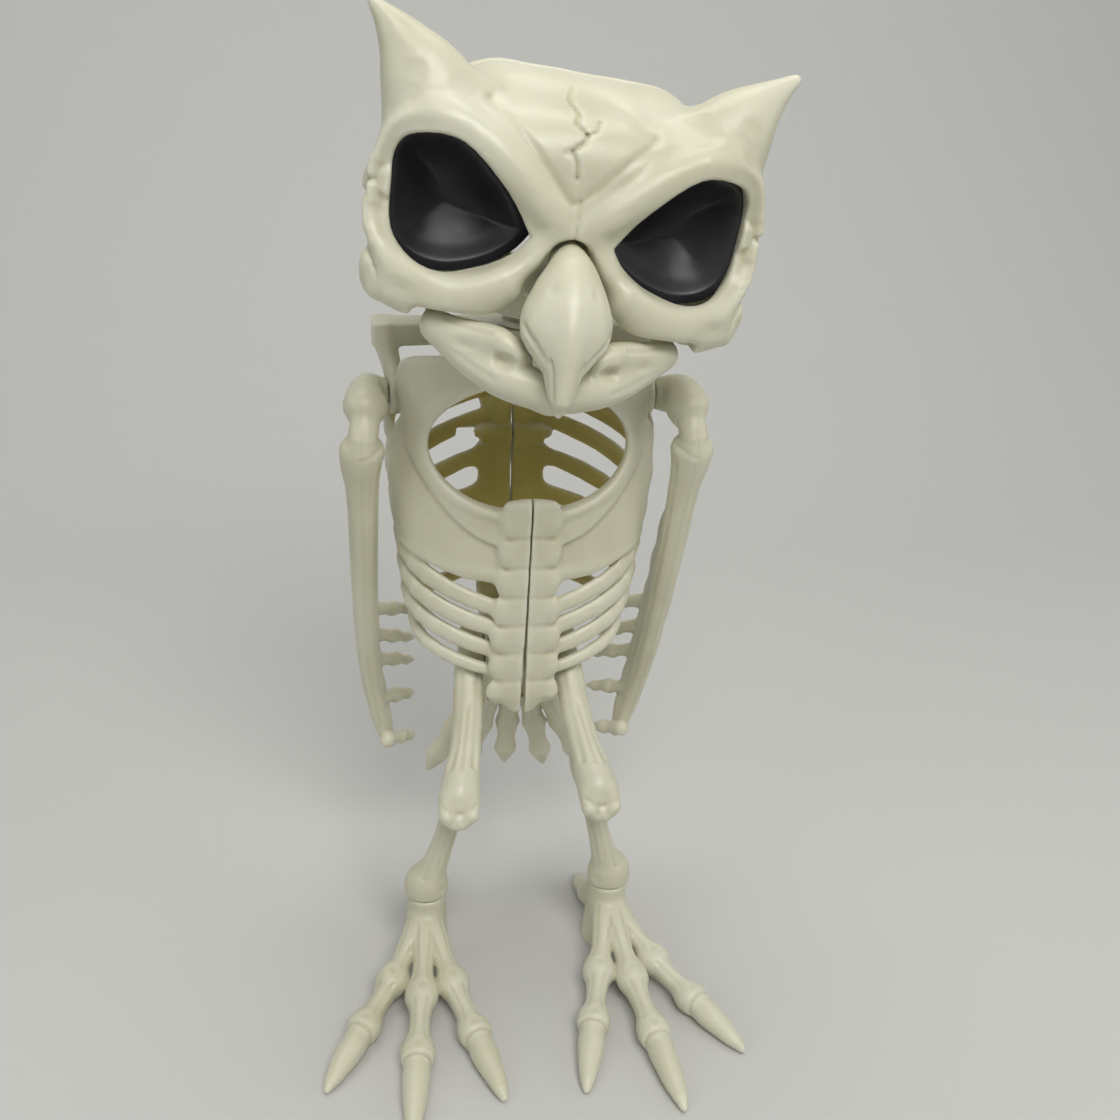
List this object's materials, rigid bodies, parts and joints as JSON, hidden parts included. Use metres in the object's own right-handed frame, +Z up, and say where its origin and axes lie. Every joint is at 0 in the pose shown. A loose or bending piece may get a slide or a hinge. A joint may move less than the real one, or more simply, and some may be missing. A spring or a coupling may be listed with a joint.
{
  "type": "owl skeleton figure",
  "caption": "Posable standing owl skeleton: hollow skull with ear tufts and hooked beak, open rib cage, hanging wings, bent legs and long clawed feet.",
  "frame": {"origin": "on the floor plane, under the middle of the whole figure's box", "axes": "+Z up, -Y the way the owl faces, +X its left side"},
  "size_m": [0.1404, 0.1502, 0.3223],
  "materials": {
    "bone_plastic": "semi-gloss translucent ivory injection-moulded plastic",
    "black_liner": "glossy black moulded plastic",
    "steel": "zinc-plated small screws, washers and pins"
  },
  "bodies": {
    "torso": {"ribcage_left": "bone_plastic", "ribcage_right": "bone_plastic", "ribcage_screws": "steel", "shoulder_yoke": "bone_plastic", "yoke_screws": "steel", "pelvis_left": "bone_plastic", "pelvis_right": "bone_plastic", "pelvis_screws": "steel", "tail_fan": "bone_plastic", "tail_screws": "steel"},
    "neck": {"neck_post": "bone_plastic", "neck_washer": "steel", "neck_screw": "steel"},
    "head": {"skull_front": "bone_plastic", "skull_back": "bone_plastic", "skull_screws": "steel", "eye_liner_left": "black_liner", "eye_liner_right": "black_liner", "upper_beak": "bone_plastic", "head_core": "bone_plastic", "socket_cap": "bone_plastic", "core_screws": "steel", "jaw_pins": "steel"},
    "jaw": {"lower_jaw": "bone_plastic"},
    "wing_left_arm": {"wing_left": "bone_plastic", "shoulder_pin_left": "bone_plastic", "shoulder_washer_left": "steel", "shoulder_screw_left": "steel"},
    "leg_left_limb": {"leg_left": "bone_plastic", "hip_washer_left": "steel", "hip_screw_left": "steel", "ankle_washer_left": "steel", "ankle_screw_left": "steel"},
    "foot_left_swivel": {"foot_left": "bone_plastic"},
    "wing_right_arm": {"wing_right": "bone_plastic", "shoulder_pin_right": "bone_plastic", "shoulder_washer_right": "steel", "shoulder_screw_right": "steel"},
    "leg_right_limb": {"leg_right": "bone_plastic", "hip_washer_right": "steel", "hip_screw_right": "steel", "ankle_washer_right": "steel", "ankle_screw_right": "steel"},
    "foot_right_swivel": {"foot_right": "bone_plastic"}
  },
  "joints": [
    {"name": "neck_turn", "type": "hinge", "parent": "torso", "child": "neck", "pos_m": [0, 0.04907, 0.226], "axis": [0, 0, 1], "range_deg": [-40, 40]},
    {"name": "head_tilt", "type": "hinge", "parent": "neck", "child": "head", "pos_m": [0, 0.04907, 0.236], "axis": [0, 1, 0], "range_deg": [-14, 3]},
    {"name": "jaw_hinge", "type": "hinge", "parent": "head", "child": "jaw", "pos_m": [0.00152, 0.01667, 0.24841], "axis": [0.9925, 0, -0.1219], "range_deg": [0, 12]},
    {"name": "shoulder_left", "type": "hinge", "parent": "torso", "child": "wing_left_arm", "pos_m": [0.045, 0.04607, 0.203], "axis": [1, 0, 0], "range_deg": [-30, 30]},
    {"name": "hip_left", "type": "hinge", "parent": "torso", "child": "leg_left_limb", "pos_m": [0.012, 0.03507, 0.112], "axis": [1, 0, 0], "range_deg": [-8, 30]},
    {"name": "ankle_left", "type": "hinge", "parent": "leg_left_limb", "child": "foot_left_swivel", "pos_m": [0.0338, 0.00847, 0.027], "axis": [0, 0, 1], "range_deg": [-10, 25]},
    {"name": "shoulder_right", "type": "hinge", "parent": "torso", "child": "wing_right_arm", "pos_m": [-0.045, 0.04607, 0.203], "axis": [1, 0, 0], "range_deg": [-30, 30]},
    {"name": "hip_right", "type": "hinge", "parent": "torso", "child": "leg_right_limb", "pos_m": [-0.012, 0.03507, 0.112], "axis": [1, 0, 0], "range_deg": [-8, 30]},
    {"name": "ankle_right", "type": "hinge", "parent": "leg_right_limb", "child": "foot_right_swivel", "pos_m": [-0.0338, 0.00847, 0.027], "axis": [0, 0, 1], "range_deg": [-25, 10]}
  ]
}
